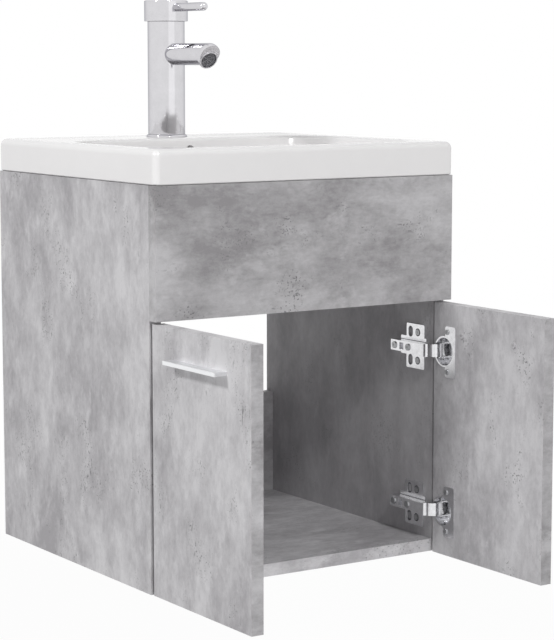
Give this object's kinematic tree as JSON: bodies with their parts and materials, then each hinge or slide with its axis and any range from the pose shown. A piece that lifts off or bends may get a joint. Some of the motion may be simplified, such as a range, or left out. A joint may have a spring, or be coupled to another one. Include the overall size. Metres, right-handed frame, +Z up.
{
  "type": "wall-hung vanity unit",
  "caption": "Wall-hung bathroom vanity with a ceramic basin, a single-lever tap, a push-to-open waste and hinged doors standing open.",
  "frame": {"origin": "middle of the hanging rail's rear face, on the wall", "axes": "+X to the right seen from the room, +Y into the wall, +Z up"},
  "size_m": [0.437, 0.577, 0.6704],
  "materials": {
    "decor_board": "melamine faced chipboard with a concrete decor",
    "nickel": "nickel plated steel and zinc",
    "chrome": "polished chrome plate",
    "aluminium": "anodised aluminium",
    "ceramic": "white glaze",
    "silicone": "translucent silicone",
    "rubber": "black rubber",
    "beech": "beech dowels",
    "cartridge": "cartridge with ceramic discs"
  },
  "bodies": {
    "cabinet": {"side_panel_left": "decor_board", "side_panel_right": "decor_board", "bottom_panel": "decor_board", "front_fascia": "decor_board", "lower_back_panel": "decor_board", "hanging_rail": "decor_board", "cam_locks": "nickel", "cam_bolts": "nickel", "dowels": "beech", "hinge_plate_left_lower": "nickel", "hinge_plate_left_upper": "nickel", "hinge_plate_right_lower": "nickel", "hinge_plate_right_upper": "nickel", "hinge_arm_left_lower": "chrome", "hinge_arm_left_upper": "chrome", "hinge_arm_right_lower": "chrome", "hinge_arm_right_upper": "chrome", "hinge_arm_pins": "nickel", "hinge_plate_screws": "nickel", "hinge_arm_screws": "nickel", "basin": "ceramic", "silicone_bead": "silicone", "waste_body": "chrome", "waste_gaskets": "rubber", "waste_nut": "chrome", "tap_body": "chrome", "tap_base_ring": "chrome", "tap_aerator": "chrome", "tap_cartridge": "cartridge", "tap_stud": "nickel", "tap_washers": "rubber", "tap_nut": "nickel"},
    "outer_links_of_left_door": {"outer_link_left_lower": "chrome", "outer_link_left_upper": "chrome"},
    "inner_links_of_left_door": {"inner_link_left_lower": "chrome", "inner_link_left_upper": "chrome", "inner_link_pins_left": "nickel"},
    "left_door": {"door_left": "decor_board", "handle_left": "aluminium", "handle_screws_left": "nickel", "hinge_cup_left_lower": "chrome", "hinge_cup_left_upper": "chrome", "cup_pins_left": "nickel", "cup_screws_left": "nickel"},
    "outer_links_of_right_door": {"outer_link_right_lower": "chrome", "outer_link_right_upper": "chrome"},
    "inner_links_of_right_door": {"inner_link_right_lower": "chrome", "inner_link_right_upper": "chrome", "inner_link_pins_right": "nickel"},
    "right_door": {"door_right": "decor_board", "handle_right": "aluminium", "handle_screws_right": "nickel", "hinge_cup_right_lower": "chrome", "hinge_cup_right_upper": "chrome", "cup_pins_right": "nickel", "cup_screws_right": "nickel"},
    "tap_turning_core": {"tap_core": "nickel"},
    "tap_handle": {"tap_head": "chrome", "tap_lever": "chrome"},
    "waste_plug": {"plug": "chrome"}
  },
  "joints": [
    {"name": "left_outer_links_turn", "type": "hinge", "parent": "cabinet", "child": "outer_links_of_left_door", "pos_m": [-0.178, -0.3715, -0.275], "axis": [0, 0, -1], "range_deg": [-0.65, 6.98]},
    {"name": "left_door_swing", "type": "hinge", "parent": "outer_links_of_left_door", "child": "left_door", "pos_m": [-0.1957, -0.38173, -0.275], "axis": [0, 0, -1], "range_deg": [-96.68, 5]},
    {"name": "left_inner_links_turn", "type": "hinge", "parent": "cabinet", "child": "inner_links_of_left_door", "pos_m": [-0.1825, -0.367, -0.275], "axis": [0, 0, -1], "range_deg": [-1.78, 28.95]},
    {"name": "right_outer_links_turn", "type": "hinge", "parent": "cabinet", "child": "outer_links_of_right_door", "pos_m": [0.178, -0.3715, -0.275], "axis": [0, 0, 1], "range_deg": [-0.65, 6.98]},
    {"name": "right_door_swing", "type": "hinge", "parent": "outer_links_of_right_door", "child": "right_door", "pos_m": [0.1957, -0.38173, -0.275], "axis": [0, 0, 1], "range_deg": [-96.68, 5]},
    {"name": "right_inner_links_turn", "type": "hinge", "parent": "cabinet", "child": "inner_links_of_right_door", "pos_m": [0.1825, -0.367, -0.275], "axis": [0, 0, 1], "range_deg": [-1.78, 28.95]},
    {"name": "tap_turn", "type": "hinge", "parent": "cabinet", "child": "tap_turning_core", "pos_m": [0, -0.06, 0.2194], "axis": [0, 0, 1], "range_deg": [-50, 50]},
    {"name": "tap_lift", "type": "hinge", "parent": "tap_turning_core", "child": "tap_handle", "pos_m": [0, -0.06, 0.2229], "axis": [-1, 0, 0], "range_deg": [0, 18]},
    {"name": "plug_slide", "type": "slide", "parent": "cabinet", "child": "waste_plug", "axis": [0, 0, 1], "range_m": [0, 0.007]}
  ],
  "couplings": [
    {"joint": "left_outer_links_turn", "follows": "left_door_swing", "ratio": -0.06913},
    {"joint": "left_inner_links_turn", "follows": "left_door_swing", "ratio": -0.29638},
    {"joint": "right_outer_links_turn", "follows": "right_door_swing", "ratio": -0.06913},
    {"joint": "right_inner_links_turn", "follows": "right_door_swing", "ratio": -0.29638}
  ]
}
